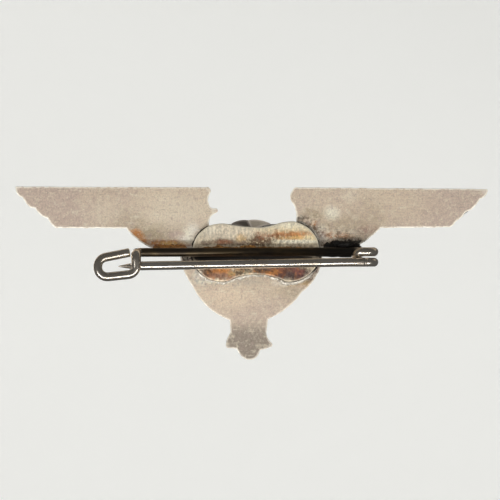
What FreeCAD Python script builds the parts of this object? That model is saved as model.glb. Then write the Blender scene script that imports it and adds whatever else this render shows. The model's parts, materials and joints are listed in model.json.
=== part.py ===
import FreeCAD, Part
import math
import os

# Pilot wings badge with a sprung wire pin, in millimetres, standing as it is worn.
# +X runs along the wings, -Y is the decorated front, +Y is the back with the pin, +Z is up.
# The origin is the middle of the plane on which the backs of the wings lie.

# ---------------------------------------------------------------- driving dimensions
SHEET = 1.0             # thickness of the wings and of the lower body
RELIEF = 0.35           # height of the feathers above the sheet
BACK_SHEET = 0.8        # thickness of the two-lobed plate on the back
SEAM = 0.12             # solder seam between the wings and the lower body
SEAM_TOP = 0.6          # height at which the wings stop
WING_TOP = 9.1          # top edge of the wings
FEATHER_LOW = 3.32      # lower edge of the long flight feathers
COVERT_PART = 1.9       # height that parts the two short rows below them
INSET = 0.3             # the relief stays this far inside the sheet's outline
QUILL = 0.06            # half the width of the groove along each feather
WIDE = 40.0             # wider than the badge, for cutting tools
WIRE_R = 0.625          # the pin is bent from one round wire, 1.25 thick
COIL_R = 1.25           # centre line of the coil
COIL_X = -15.9          # the coil's own axis stands along Z at this X
COIL_TOP = 0.03         # height of the fixed leg where it enters the coil
COIL_BOTTOM = -1.42     # height at which the pin leaves the coil
HOOK_X = 16.05          # the hook crosses over the pin here
HOOK_Z = -0.06          # height of the fixed leg at the hook
HOOK_Y = 4.1            # how far the hook stands behind the wings
HOOK_JOINT = 2.2        # the fixed leg becomes the hook this far before the hook's first bend
LOOP_X = 21.4           # far end of the hook's open loop
PIN_TIP = (18.56, 2.66, -2.0)
PIN_TAPER = 3.2         # length of the sharpened end
PIN_BEND_X = -13.4      # the pin leaves the coil along X, and turns towards the hook here
PIN_BEND_R = 8.0
POINT_R = 0.06          # radius left at the point
SHIELD_GAP = 0.1        # solder film that holds the shield on
SHIELD_T = 1.8          # thickness of the shield at its rim
RIM = 0.9               # width of the shield's rim
ENAMEL_T = 0.5
ENAMEL_DEPTH = 0.1      # the enamel lies this far below the rim
STAR_T = 0.55
LEAF_T = 0.7
FILLET_WIDE = 0.32      # solder fillet round the two-lobed plate
FILLET_HIGH = 0.25
CLEAR = 0.12            # gap that is left between relief and its neighbours

LEG_Y = BACK_SHEET + WIRE_R
COIL_Y = LEG_Y + COIL_R
PIN_Y = COIL_Y + COIL_R
RELIEF_FRONT = -SHEET - RELIEF
SHIELD_BACK = -SHEET - SHIELD_GAP
SHIELD_FRONT = SHIELD_BACK - SHIELD_T
ENAMEL_FRONT = SHIELD_FRONT + ENAMEL_DEPTH
ENAMEL_FLOOR = ENAMEL_FRONT + ENAMEL_T

# ---------------------------------------------------------------- outlines, as (x, z)
# A step is a corner (x, z), or an arc ((x, z) on the way, (x, z) at its end).
# Each wing is drawn for positive x. The two differ a little, as hand-finished pieces do.
CATCH_WING = [
    (6.35, 9.05), (32.9, 9.15),
    ((32.75, 8.35), (32.25, 7.7)), (31.85, 7.6),
    ((31.4, 6.8), (30.7, 6.2)), (30.15, 6.1),
    ((29.45, 5.25), (28.4, 4.7)), (28.15, 4.3),
    ((27.75, 3.75), (27.1, 3.35)), (17.45, 3.3),
    ((15.9, 1.75), (14.0, SEAM_TOP)), (5.86, SEAM_TOP), (5.86, 4.1),
    ((5.55, 4.95), (4.85, 5.48)), ((4.62, 5.8), (4.88, 6.1)), ((5.6, 6.25), (5.95, 6.95)),
    ((5.95, 7.6), (5.62, 8.35)), ((5.75, 8.9), (6.35, 9.05)),
]
COIL_WING = [
    (6.6, 9.03), (32.95, 8.8), (33.07, 8.6),
    ((32.8, 7.95), (32.0, 7.4)),
    ((31.35, 6.5), (30.75, 5.9)), (29.9, 5.5),
    ((29.45, 4.9), (28.85, 4.45)), (28.45, 4.0),
    ((28.2, 3.7), (27.75, 3.45)), (18.1, 3.35),
    ((16.6, 2.0), (14.4, SEAM_TOP)), (6.32, SEAM_TOP), (6.32, 4.6),
    ((6.2, 5.95), (5.75, 6.9)), ((5.45, 7.6), (5.75, 8.55)), ((6.05, 8.95), (6.6, 9.03)),
]
BODY = [
    (9.9, SEAM_TOP - SEAM), (9.82, -1.03), ((9.2, -3.0), (8.09, -4.88)), ((5.86, -7.8), (2.99, -9.5)),
    (2.86, -11.2), ((3.3, -12.0), (3.52, -12.9)), ((3.4, -13.3), (3.1, -13.4)), (2.01, -13.5),
    ((1.6, -14.2), (1.1, -14.75)), ((0.1, -15.05), (-0.75, -14.7)), ((-1.15, -14.1), (-1.3, -13.7)),
    (-2.6, -13.3), ((-2.95, -13.1), (-2.9, -12.7)), ((-2.3, -11.9), (-2.13, -11.2)),
    (-2.4, -9.35), ((-5.4, -7.5), (-7.1, -5.6)), ((-9.1, -3.4), (-9.95, -1.3)), (-10.0, SEAM_TOP - SEAM),
]
TWO_LOBES = [
    (-1.7, 3.49), ((-2.9, 3.75), (-4.0, 4.05)), ((-9.63, 0.1), (-4.8, -4.12)),
    ((-2.9, -3.4), (-0.2, -3.14)), ((1.7, -3.45), (3.0, -4.0)), ((8.23, 0.0), (3.4, 3.95)),
    ((0.8, 3.55), (-1.7, 3.49)),
]
HEART = [
    (0.0, 2.9), ((5.3, 3.55), (8.7, 0.1)), ((7.1, -4.9), (0.0, -9.1)),
    ((-7.1, -4.9), (-8.7, 0.1)), ((-5.3, 3.55), (0.0, 2.9)),
]
LEAVES = {
    "right": [(2.6, 3.2), (2.85, 3.8), ((1.85, 4.28), (0.5, 4.38)), (-0.05, 3.2)],
    "left": [(-0.17, 3.2), (0.38, 4.38), ((-1.0, 4.42), (-2.95, 3.75)), (-2.6, 3.2)],
}
PRIMARIES = 4           # long flight feathers, one above another
BAND = (WING_TOP - FEATHER_LOW) / PRIMARIES
TAIL_RIBS = (-1.45, 0.35, 2.15)
RIB_HALF = 0.35
RIB_LOW, RIB_HIGH = -13.0, -9.9
CHIEF_BAR = (0.8, 1.35)     # height of the bar that parts the two fields of enamel
STAR_Z = -2.9
STAR_POINTS = 8
STAR_REACH = (2.7, 1.55)    # long points and short points
STAR_WAIST = 0.75
STUD_R = 0.5
STUD_TAIL = 0.6         # how far the stud runs into the shield behind the enamel
FILM_INSET = 1.2        # the solder film stops this far inside the shield's outline
SEAM_REACH = {"right": (5.9, 9.85), "left": (-9.95, -6.35)}

SHAPES = {}


def at(x, z, y=0.0):
    return FreeCAD.Vector(x, y, z)


def outline(steps, side=1):
    """Closed wire in the XZ plane from a list of steps, mirrored in X where side is -1."""
    edges = []
    here = steps[0]
    for step in steps[1:] + [steps[0]]:
        bent = isinstance(step[0], tuple)
        end = step[1] if bent else step
        if end == here:
            continue
        points = [at(side * p[0], p[1]) for p in ((here, step[0], end) if bent else (here, end))]
        edges.append(Part.Arc(*points).toShape() if bent else Part.LineSegment(*points).toShape())
        here = end
    return Part.Wire(edges)


def slab(wire, y_front, y_back):
    """Solid between two depths, with the given outline."""
    face = Part.Face(wire)
    face.translate(FreeCAD.Vector(0, y_front, 0))
    return face.extrude(FreeCAD.Vector(0, y_back - y_front, 0))


def grown(wire, amount):
    """The same outline, moved outwards, or inwards where amount is negative."""
    return Part.Face(wire).makeOffset2D(amount, 0, False, False, False).OuterWire


def bar(x_low, x_high, z_low, z_high, y_front, y_back):
    return Part.makeBox(
        x_high - x_low, y_back - y_front, z_high - z_low, FreeCAD.Vector(x_low, y_front, z_low)
    )


def one_solid(shape):
    """The single solid of a boolean result, without the seams it leaves."""
    clean = shape.removeSplitter()
    return clean.Solids[0] if len(clean.Solids) == 1 else Part.makeCompound(clean.Solids)


def rounded_path(corners, bends):
    """Wire through the corners, each turned by an arc of its own radius."""
    edges = []
    here = corners[0]
    for before, corner, after, radius in zip(corners, corners[1:], corners[2:], bends):
        back = (before - corner).normalize()
        on = (after - corner).normalize()
        half = back.getAngle(on) / 2
        reach = radius / math.tan(half)
        start = corner + back * reach
        end = corner + on * reach
        inward = (back + on).normalize()
        middle = corner + inward * (radius / math.sin(half) - radius)
        edges.append(Part.LineSegment(here, start).toShape())
        edges.append(Part.Arc(start, middle, end).toShape())
        here = end
    edges.append(Part.LineSegment(here, corners[-1]).toShape())
    return Part.Wire(edges)


def round_wire(path, start, heading):
    """Solid round wire along a path."""
    section = Part.Wire([Part.Circle(start, heading, WIRE_R).toShape()])
    return path.makePipeShell([section], True, False)


# ---------------------------------------------------------------- plates
def feathers(side, wing, reach):
    """Raised flight feathers and coverts on the front of a wing, as one relief."""
    blank = slab(grown(outline(wing, side), -INSET), RELIEF_FRONT, -SHEET)
    for row in range(1, PRIMARIES):
        height = WING_TOP - BAND * row
        blank = blank.cut(bar(-WIDE, WIDE, height - CLEAR / 2, height + CLEAR / 2, RELIEF_FRONT, -SHEET))
    for row, tip in enumerate(reach):
        height = WING_TOP - BAND * (row + 0.5)
        quill_floor = RELIEF_FRONT + RELIEF / 2
        blank = blank.cut(bar(-tip, tip, height - QUILL, height + QUILL, RELIEF_FRONT, quill_floor))
    parting = bar(-WIDE, WIDE, COVERT_PART, COVERT_PART + CLEAR, RELIEF_FRONT, -SHEET)
    shield_room = slab(grown(outline(HEART), 2 * CLEAR), RELIEF_FRONT, -SHEET)
    return blank.cut(parting).cut(shield_room)


def wing_plate(side, wing, reach):
    plate = slab(outline(wing, side), -SHEET, 0.0)
    return one_solid(plate.fuse(feathers(side, wing, reach)))


CATCH_REACH = (31.0, 29.6, 27.6, 26.0)
COIL_REACH = (31.0, 29.6, 28.0, 26.4)
SHAPES["right_wing"] = wing_plate(1, CATCH_WING, CATCH_REACH)
SHAPES["left_wing"] = wing_plate(-1, COIL_WING, COIL_REACH)


def tail_body():
    """Lower body with its tail, and three ribs on the front of the tail."""
    plate = slab(outline(BODY), -SHEET, 0.0)
    room = slab(grown(outline(BODY), -INSET), RELIEF_FRONT, -SHEET)
    ribs = [bar(x - RIB_HALF, x + RIB_HALF, RIB_LOW, RIB_HIGH, RELIEF_FRONT, -SHEET) for x in TAIL_RIBS]
    return one_solid(plate.fuse([rib.common(room) for rib in ribs]))


SHAPES["centre_body"] = tail_body()
SHAPES["back_plate"] = slab(outline(TWO_LOBES), 0.0, BACK_SHEET)

# ---------------------------------------------------------------- shield on the front
heart = outline(HEART)
field = slab(grown(heart, -RIM), SHIELD_FRONT, ENAMEL_FLOOR)
low, high = CHIEF_BAR
divider = bar(-WIDE, WIDE, low, high, SHIELD_FRONT, ENAMEL_FLOOR)
stud_front = ENAMEL_FRONT - STAR_T / 2
stud_back = ENAMEL_FLOOR + STUD_TAIL
stud = Part.makeCylinder(STUD_R, stud_back - stud_front, at(0, STAR_Z, stud_front), FreeCAD.Vector(0, 1, 0))
shield = slab(heart, SHIELD_FRONT, SHIELD_BACK).cut(field.cut(divider))
SHAPES["centre_shield"] = one_solid(shield.cut(stud))
enamel = slab(grown(heart, -RIM), ENAMEL_FRONT, ENAMEL_FLOOR).cut(divider)
SHAPES["enamel_chief"] = one_solid(enamel.common(bar(-WIDE, WIDE, high, WIDE, SHIELD_FRONT, SHIELD_BACK)))
lower_field = enamel.common(bar(-WIDE, WIDE, -WIDE, low, SHIELD_FRONT, SHIELD_BACK))
SHAPES["enamel_field"] = one_solid(lower_field.cut(stud))


def star():
    """Eight-pointed compass star with a hole for its stud."""
    corners = []
    for i in range(2 * STAR_POINTS):
        turn = math.pi * i / STAR_POINTS
        radius = STAR_WAIST if i % 2 else STAR_REACH[(i // 2) % 2]
        corners.append((radius * math.sin(turn), STAR_Z + radius * math.cos(turn)))
    return slab(outline(corners), ENAMEL_FRONT - STAR_T, ENAMEL_FRONT).cut(stud)


SHAPES["compass_star"] = one_solid(star())
SHAPES["star_stud"] = stud
for name, steps in LEAVES.items():
    leaf = slab(outline(steps), SHIELD_BACK - LEAF_T, SHIELD_BACK).cut(slab(heart, SHIELD_FRONT, SHIELD_BACK))
    SHAPES["crest_leaf_" + name] = one_solid(leaf)

# ---------------------------------------------------------------- solder
backing = [outline(CATCH_WING, 1), outline(COIL_WING, -1), outline(BODY)]
pieces = [slab(wire, SHIELD_BACK, FILLET_HIGH) for wire in backing]
footprint = pieces[0].fuse(pieces[1:])
film = slab(grown(heart, -FILM_INSET), SHIELD_BACK, -SHEET)
SHAPES["shield_solder"] = one_solid(film.common(footprint))
lobes = outline(TWO_LOBES)
ring = slab(grown(lobes, FILLET_WIDE), 0.0, FILLET_HIGH).cut(slab(lobes, 0.0, FILLET_HIGH))
SHAPES["back_plate_solder"] = one_solid(ring.common(footprint))
for name, (x_low, x_high) in SEAM_REACH.items():
    SHAPES["seam_solder_" + name] = bar(x_low, x_high, SEAM_TOP - SEAM, SEAM_TOP, -SHEET, 0.0)

# ---------------------------------------------------------------- the wire
leg_left = at(COIL_X, COIL_TOP, LEG_Y)
leg_right = at(HOOK_X - HOOK_JOINT, HOOK_Z, LEG_Y)
leg_axis = leg_right - leg_left
leg = Part.makeCylinder(WIRE_R, leg_axis.Length, leg_left, leg_axis)
SHAPES["fixed_leg"] = leg

HOOK = [
    (leg_right, 0.0),
    (at(HOOK_X, HOOK_Z, LEG_Y), 0.95),
    (at(HOOK_X, -0.3, HOOK_Y), 0.95),
    (at(HOOK_X, -3.05, HOOK_Y), 1.2),
    (at(LOOP_X, -3.62, HOOK_Y), 1.36),
    (at(LOOP_X, -0.95, 3.7), 1.36),
    (at(17.1, -0.08, 3.1), 0.0),
]
hook_path = rounded_path([corner for corner, bend in HOOK], [bend for corner, bend in HOOK[1:-1]])
SHAPES["catch_hook"] = one_solid(round_wire(hook_path, leg_right, HOOK[1][0] - leg_right))

pin_root = at(COIL_X, COIL_BOTTOM, PIN_Y)
pin_bend = at(PIN_BEND_X, COIL_BOTTOM, PIN_Y)
pin_tip = FreeCAD.Vector(*PIN_TIP)
pin_axis = (pin_tip - pin_bend).normalize()
point_base = pin_tip - pin_axis * PIN_TAPER
pin_path = rounded_path([pin_root, pin_bend, point_base], [PIN_BEND_R])
point = Part.makeCone(WIRE_R, POINT_R, PIN_TAPER, point_base, pin_axis)
pin = round_wire(pin_path, pin_root, pin_bend - pin_root).fuse(point)
SHAPES["pin_shaft"] = one_solid(pin)


def outer_half_turn(height):
    """Half a turn of the coil, level, round its outer side from the leg's depth to the pin's."""
    start = at(COIL_X, height, LEG_Y)
    bend = Part.Arc(start, at(COIL_X - COIL_R, height, COIL_Y), at(COIL_X, height, PIN_Y))
    return round_wire(Part.Wire([bend.toShape()]), start, FreeCAD.Vector(-1, 0, 0))


def inner_half_turn():
    """Half a turn that climbs from the lower outer half to the upper one."""
    climb = COIL_TOP - COIL_BOTTOM
    helix = Part.makeHelix(2 * climb, climb, COIL_R)
    helix.rotate(FreeCAD.Vector(0, 0, 0), FreeCAD.Vector(0, 0, 1), -90)
    helix.translate(FreeCAD.Vector(COIL_X, COIL_Y, COIL_BOTTOM))
    heading = FreeCAD.Vector(COIL_R, 0, climb / math.pi)
    return round_wire(Part.Wire(helix.Edges), at(COIL_X, COIL_BOTTOM, LEG_Y), heading)


elbows = [Part.makeSphere(WIRE_R, at(COIL_X, z, y)) for z, y in ((COIL_BOTTOM, LEG_Y), (COIL_TOP, PIN_Y))]
coil = outer_half_turn(COIL_TOP).fuse([inner_half_turn(), outer_half_turn(COIL_BOTTOM)] + elbows)
SHAPES["spring_coil"] = one_solid(coil.cut(leg).cut(pin))


def leg_fillet(x_low, x_high, base_y, base_low, base_high):
    """Wedge of solder between the face of a plate and the upper side of the fixed leg."""
    corners = [(base_y, base_low), (base_y, base_high), (LEG_Y + 0.2, WIRE_R), (LEG_Y - 0.2, 0.0)]
    points = [FreeCAD.Vector(x_low, y, z) for y, z in corners]
    face = Part.Face(Part.makePolygon(points + points[:1]))
    return face.extrude(FreeCAD.Vector(x_high - x_low, 0, 0)).cut(leg)


SHAPES["leg_solder_right"] = one_solid(leg_fillet(9.2, 13.6, 0.0, SEAM_TOP, 1.5))
SHAPES["leg_solder_left"] = one_solid(leg_fillet(-13.8, -10.4, 0.0, SEAM_TOP, 2.3))
SHAPES["leg_solder_middle"] = one_solid(leg_fillet(-8.0, 7.0, BACK_SHEET, 0.05, 1.0))

# ---------------------------------------------------------------- write the parts
os.makedirs("parts", exist_ok=True)
for name, shape in SHAPES.items():
    shape.exportStep("parts/" + name + ".step")
    print(f"{name}: {len(shape.Solids)} solid, valid {shape.isValid()}, {shape.Volume:.2f} mm3")
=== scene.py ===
import json
import math
import bmesh
import bpy
import numpy as np
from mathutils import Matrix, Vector, geometry, kdtree, noise


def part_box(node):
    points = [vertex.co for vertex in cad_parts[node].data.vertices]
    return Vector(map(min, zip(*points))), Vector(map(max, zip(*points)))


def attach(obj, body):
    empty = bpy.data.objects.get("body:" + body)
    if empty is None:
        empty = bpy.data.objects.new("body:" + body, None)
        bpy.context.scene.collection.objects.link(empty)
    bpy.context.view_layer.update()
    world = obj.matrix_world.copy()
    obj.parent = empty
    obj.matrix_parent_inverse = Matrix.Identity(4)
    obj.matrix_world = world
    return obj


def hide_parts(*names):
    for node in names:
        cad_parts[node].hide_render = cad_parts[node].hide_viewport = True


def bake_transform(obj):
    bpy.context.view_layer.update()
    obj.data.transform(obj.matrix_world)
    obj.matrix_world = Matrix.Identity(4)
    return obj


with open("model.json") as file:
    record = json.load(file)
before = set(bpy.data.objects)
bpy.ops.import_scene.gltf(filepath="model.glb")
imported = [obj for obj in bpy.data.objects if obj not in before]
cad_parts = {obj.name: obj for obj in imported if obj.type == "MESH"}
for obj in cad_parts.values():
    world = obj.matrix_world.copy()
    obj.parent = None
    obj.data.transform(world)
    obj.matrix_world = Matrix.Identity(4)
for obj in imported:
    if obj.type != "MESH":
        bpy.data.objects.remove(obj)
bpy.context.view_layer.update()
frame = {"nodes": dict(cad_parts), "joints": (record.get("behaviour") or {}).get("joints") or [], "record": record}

# The badge stands as worn: wings along X, decorated front towards -Y, back and pin towards +Y.
# Meshes are drawn in millimetres and scaled to metres as they are made.
MM = 0.001
joints = {joint["name"]: joint for joint in frame["joints"]}
mounts = {mount["name"]: mount for mount in frame["record"]["mounts"]}


def box_mm(node):
    low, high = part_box(node)
    return low / MM, high / MM


# ---------------------------------------------------------------- sizes, in millimetres
SHEET_FRONT = -1.0                          # front of the wing and body sheet; its back is at 0
SEAM_TOP = box_mm("seam_solder_right")[1].z
BACK_TOP = box_mm("back_plate")[1].y        # outer face of the two-lobed plate
SHIELD_LOW, SHIELD_HIGH = box_mm("centre_shield")
SHIELD_RIM = 0.9
ENAMEL_LOW, ENAMEL_HIGH = box_mm("enamel_field")
CHIEF_LOW = box_mm("enamel_chief")[0].z
STAR_LOW, STAR_HIGH = box_mm("compass_star")
STAR_Z = (STAR_LOW.z + STAR_HIGH.z) / 2
LEAF_LOW, LEAF_HIGH = box_mm("crest_leaf_left")
WIRE_R = mounts["pin_through_cloth"]["dims"]["r_mm"]
COIL_X, COIL_Y, COIL_BOTTOM = (c / MM for c in joints["pin_open"]["pos_m"])
COIL_TOP = joints["pin_side_swing"]["pos_m"][2] / MM
LEG_Y = joints["pin_side_swing"]["pos_m"][1] / MM
COIL_R = COIL_Y - LEG_Y
PIN_Y = COIL_Y + COIL_R
HOOK_X = 16.05
HOOK_Y = 4.1
HOOK_Z = -0.06


def leg_z(x):
    """Height of the fixed leg's centre line."""
    return COIL_TOP + (HOOK_Z - COIL_TOP) * (x - COIL_X) / (HOOK_X - COIL_X)


# ---------------------------------------------------------------- node helper
class Shade:
    """Short calls for building one material's nodes. Places are object coordinates, in millimetres."""

    def __init__(self, name):
        self.material = bpy.data.materials.new(name)
        self.material.use_nodes = True
        self.tree = self.material.node_tree
        self.bsdf = self.tree.nodes["Principled BSDF"]
        coords = self.tree.nodes.new("ShaderNodeTexCoord")
        scale = self.tree.nodes.new("ShaderNodeVectorMath")
        scale.operation = "SCALE"
        scale.inputs["Scale"].default_value = 1 / MM
        self.tree.links.new(coords.outputs["Object"], scale.inputs[0])
        self.place = scale.outputs[0]
        split = self.tree.nodes.new("ShaderNodeSeparateXYZ")
        self.tree.links.new(self.place, split.inputs[0])
        self.x, self.y, self.z = split.outputs
        self.edge_noise = None

    def put(self, value, socket):
        if isinstance(value, bpy.types.NodeSocket):
            self.tree.links.new(value, socket)
        elif isinstance(value, tuple) and len(value) == 3 and socket.type == "RGBA":
            socket.default_value = (*value, 1)
        else:
            socket.default_value = value

    def math(self, operation, a, b=0.0, c=0.0):
        node = self.tree.nodes.new("ShaderNodeMath")
        node.operation = operation
        for value, socket in zip((a, b, c), node.inputs):
            self.put(value, socket)
        return node.outputs[0]

    def times(self, *factors):
        product = factors[0]
        for factor in factors[1:]:
            product = self.math("MULTIPLY", product, factor)
        return product

    def step(self, value, low, high, to_low=0.0, to_high=1.0):
        """Smooth ramp from to_low at low to to_high at high."""
        node = self.tree.nodes.new("ShaderNodeMapRange")
        node.interpolation_type = "SMOOTHSTEP"
        for item, socket in zip((value, low, high, to_low, to_high), node.inputs):
            self.put(item, socket)
        return node.outputs[0]

    def noise(self, scale, detail=3.0, stretch=(1, 1, 1), rough=0.55, shift=0.0):
        """Noise from 0 to 1; scale is in features per millimetre."""
        mapping = self.tree.nodes.new("ShaderNodeMapping")
        self.tree.links.new(self.place, mapping.inputs["Vector"])
        mapping.inputs["Scale"].default_value = stretch
        mapping.inputs["Location"].default_value = (shift, shift * 0.7, shift * 1.3)
        node = self.tree.nodes.new("ShaderNodeTexNoise")
        self.tree.links.new(mapping.outputs[0], node.inputs["Vector"])
        node.inputs["Scale"].default_value = scale
        node.inputs["Detail"].default_value = detail
        node.inputs["Roughness"].default_value = rough
        return node.outputs["Fac"]

    def mix(self, factor, a, b, kind="MIX"):
        node = self.tree.nodes.new("ShaderNodeMix")
        node.data_type = "RGBA"
        node.blend_type = kind
        node.clamp_factor = True
        self.put(factor, node.inputs["Factor"])
        self.put(a, node.inputs["A"])
        self.put(b, node.inputs["B"])
        return node.outputs["Result"]

    def tone(self, colour, value):
        """The colour made lighter or darker by a value round 1."""
        return self.mix(1.0, colour, value, "MULTIPLY")

    def attribute(self, name):
        node = self.tree.nodes.new("ShaderNodeAttribute")
        node.attribute_name = name
        return node.outputs["Fac"]

    def uneven(self):
        """Noise from about -1 to 1, at two scales, that breaks up the outlines of stains."""
        if self.edge_noise is None:
            coarse = self.math("MULTIPLY_ADD", self.noise(0.55, 2.0, shift=1.0), 2.4, -1.2)
            fine = self.math("MULTIPLY_ADD", self.noise(2.4, 6.0, rough=0.75, shift=8.0), 3.4, -1.7)
            self.edge_noise = self.math("ADD", coarse, fine)
        return self.edge_noise

    def uneven_patch(self, x, z, wide, high, share, soft=0.8, ragged=0.9):
        """share inside an uneven patch round (x, z), falling to 0 outside it."""
        across = self.math("MULTIPLY_ADD", self.x, 1 / wide, -x / wide)
        up = self.math("MULTIPLY_ADD", self.z, 1 / high, -z / high)
        far = self.math("SQRT", self.math("MULTIPLY_ADD", across, across, self.math("MULTIPLY", up, up)))
        edge = self.math("MULTIPLY_ADD", self.uneven(), ragged, far)
        return self.step(edge, 1 + soft, 1 - soft, 0.0, share)

    def stained_and_shaded(self, colour, stains_and_shade, where=1.0):
        """The colour with a list of patches, stains and some painted shade, laid over it in turn."""
        for x, z, wide, high, tint, share, *edge in stains_and_shade:
            patch = self.uneven_patch(x, z, wide, high, share, *edge)
            colour = self.mix(self.times(patch, where), colour, tint)
        return colour

    def gritty(self, colour, crusts, where=1.0):
        """Small crusty specks in a list of patches (x, z, wide, high, share, dark tint, light tint)."""
        for x, z, wide, high, share, dark, light in crusts:
            patch = self.times(where, self.uneven_patch(x, z, wide, high, share, 0.9, 0.8))
            specks = self.noise(2.4, 3.0, rough=0.6, shift=30.0)
            colour = self.mix(self.times(patch, self.step(specks, 0.54, 0.6)), colour, dark)
            colour = self.mix(self.times(patch, self.step(specks, 0.44, 0.38)), colour, light)
        return colour

    def bump(self, height, depth, strength=1.0):
        """Bump of a height from 0 to 1, depth in millimetres."""
        node = self.tree.nodes.new("ShaderNodeBump")
        node.inputs["Distance"].default_value = depth * MM
        node.inputs["Strength"].default_value = strength
        self.put(height, node.inputs["Height"])
        self.tree.links.new(node.outputs["Normal"], self.bsdf.inputs["Normal"])

    def finish(self, colour, roughness, metallic=1.0, **sockets):
        self.put(colour, self.bsdf.inputs["Base Color"])
        self.put(roughness, self.bsdf.inputs["Roughness"])
        self.put(metallic, self.bsdf.inputs["Metallic"])
        for name, value in sockets.items():
            self.put(value, self.bsdf.inputs[name.replace("_", " ")])
        return self.material


# ---------------------------------------------------------------- mesh helpers
def piece(name, heap, material, replaced=None, smooth=True, value="cavity", body="badge"):
    """One named piece from a heap in millimetres, in place of the CAD node of its name or those given.

    value names the heap's attribute.
    """
    mesh = bpy.data.meshes.new(name)
    mesh.from_pydata([Vector(p) * MM for p in heap.points], [], heap.faces)
    mesh.validate()
    attribute = mesh.attributes.new(value, "FLOAT", "POINT")
    attribute.data.foreach_set("value", np.asarray(heap.values, np.float32))
    facing = bmesh.new()
    facing.from_mesh(mesh)
    bmesh.ops.recalc_face_normals(facing, faces=facing.faces)
    facing.to_mesh(mesh)
    facing.free()
    mesh.polygons.foreach_set("use_smooth", [smooth and len(p.vertices) < 5 for p in mesh.polygons])
    mesh.materials.append(material)
    thing = bpy.data.objects.new(name, mesh)
    bpy.context.scene.collection.objects.link(thing)
    if body:
        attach(thing, body)
    if replaced is None:
        replaced = (name,) if name in frame["nodes"] else ()
    if replaced:
        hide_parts(*replaced)
    return thing


class Heap:
    """Points, faces and one attribute of several meshes that become one piece."""

    def __init__(self):
        self.points = []
        self.faces = []
        self.values = []

    def add(self, points, faces, values=None):
        start = len(self.points)
        self.points.extend(tuple(p) for p in points)
        self.faces.extend(tuple(start + i for i in face) for face in faces)
        self.values.extend([0.0] * len(points) if values is None else list(values))


def wobble(x, z, scale, seed):
    return noise.noise(Vector((x * scale, seed * 3.7, z * scale)))


def area(loop):
    xz = np.array(loop)
    return 0.5 * float(np.sum(xz[:, 0] * np.roll(xz[:, 1], -1) - np.roll(xz[:, 0], -1) * xz[:, 1]))


def flat_loop(node, face_y):
    """Outline of a CAD node's flat face at that depth, as (x, z) points, anticlockwise from -Y."""
    mesh = frame["nodes"][node].data
    corners = [(round(v.co.x / MM, 4), round(v.co.z / MM, 4), v.co.y / MM) for v in mesh.vertices]
    pairs = set()
    for polygon in mesh.polygons:
        ids = list(polygon.vertices)
        if all(abs(corners[i][2] - face_y) < 1e-3 for i in ids):
            pairs.update(zip([corners[i][:2] for i in ids], [corners[i][:2] for i in ids[1:] + ids[:1]]))
    after = dict(pair for pair in sorted(pairs) if pair[::-1] not in pairs)
    loops = []
    while after:
        first = min(after)
        here = after.pop(first)
        loop = [first]
        while here != first and here in after:
            loop.append(here)
            here = after.pop(here)
        loops.append(loop)
    loop = max(loops, key=lambda found: abs(area(found)))
    return loop if area(loop) > 0 else loop[::-1]


def resample(loop, spacing, sharp=0.5):
    """Points about spacing apart round a loop, which keeps its sharp corners."""
    count = len(loop)
    kept = []
    for i in range(count):
        a, b, c = (np.array(loop[j % count]) for j in (i - 1, i, i + 1))
        turn = math.atan2(float(np.cross(b - a, c - b)), float(np.dot(b - a, c - b)))
        if abs(turn) > sharp:
            kept.append(i)
    kept = kept or [0]
    out = []
    for start, end in zip(kept, kept[1:] + [kept[0] + count]):
        run = np.array([loop[i % count] for i in range(start, end + 1)])
        lengths = np.r_[0, np.cumsum(np.linalg.norm(np.diff(run, axis=0), axis=1))]
        steps = max(1, round(lengths[-1] / spacing))
        for s in np.linspace(0, lengths[-1], steps + 1)[:-1]:
            out.append((float(np.interp(s, lengths, run[:, 0])), float(np.interp(s, lengths, run[:, 1]))))
    return out


def normals(loop):
    """Outward unit normals at a loop's points."""
    xz = np.array(loop)
    along = np.roll(xz, -1, axis=0) - np.roll(xz, 1, axis=0)
    out = np.stack([along[:, 1], -along[:, 0]], axis=1)
    return out / np.maximum(np.linalg.norm(out, axis=1), 1e-9)[:, None]


def shifted(loop, amount):
    return [tuple(p) for p in np.array(loop) + normals(loop) * amount]


def ragged(loop, amount, scale, seed):
    """The loop with small uneven bites, as a hand-filed edge has."""
    return [
        (x + nx * amount * wobble(x, z, scale, seed), z + nz * amount * wobble(x, z, scale, seed))
        for (x, z), (nx, nz) in zip(loop, normals(loop))
    ]


def inside(loop, points):
    """Which points lie inside the loop."""
    xz = np.array(loop)
    result = np.zeros(len(points), bool)
    for (x0, z0), (x1, z1) in zip(xz, np.roll(xz, -1, axis=0)):
        crosses = (z0 > points[:, 1]) != (z1 > points[:, 1])
        if crosses.any():
            at_x = x0 + (points[:, 1] - z0) * (x1 - x0) / ((z1 - z0) or 1e-12)
            result ^= crosses & (points[:, 0] < at_x)
    return result


def fill(loop, spacing, offsets):
    """Triangles inside a loop, with rows of points along it at the offsets: points, faces, distances."""
    tree = kdtree.KDTree(len(loop))
    for i, (x, z) in enumerate(loop):
        tree.insert((x, z, 0), i)
    tree.balance()
    xz = np.array(loop)
    low, high = xz.min(0), xz.max(0)
    grid = [
        (x + (spacing / 2 if i % 2 else 0), z)
        for i, z in enumerate(np.arange(low[1], high[1], spacing * 0.87))
        for x in np.arange(low[0], high[0], spacing)
    ]
    limit = offsets[-1] + 0.6 * spacing
    picked = [p for p in grid if tree.find((p[0], p[1], 0))[2] > limit]
    for offset in offsets:
        picked += [p for p in shifted(loop, -offset) if tree.find((p[0], p[1], 0))[2] > 0.93 * offset]
    picked = np.array(picked).reshape(-1, 2)
    picked = picked[inside(loop, picked)]
    flat = [Vector(p) for p in loop] + [Vector(p) for p in picked]
    edges = [(i, (i + 1) % len(loop)) for i in range(len(loop))]
    made = geometry.delaunay_2d_cdt(flat, edges, [], 1, 1e-5)
    points = [tuple(p) for p in made[0]]
    distances = [tree.find((p[0], p[1], 0))[2] for p in points]
    return points, made[2], distances


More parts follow.
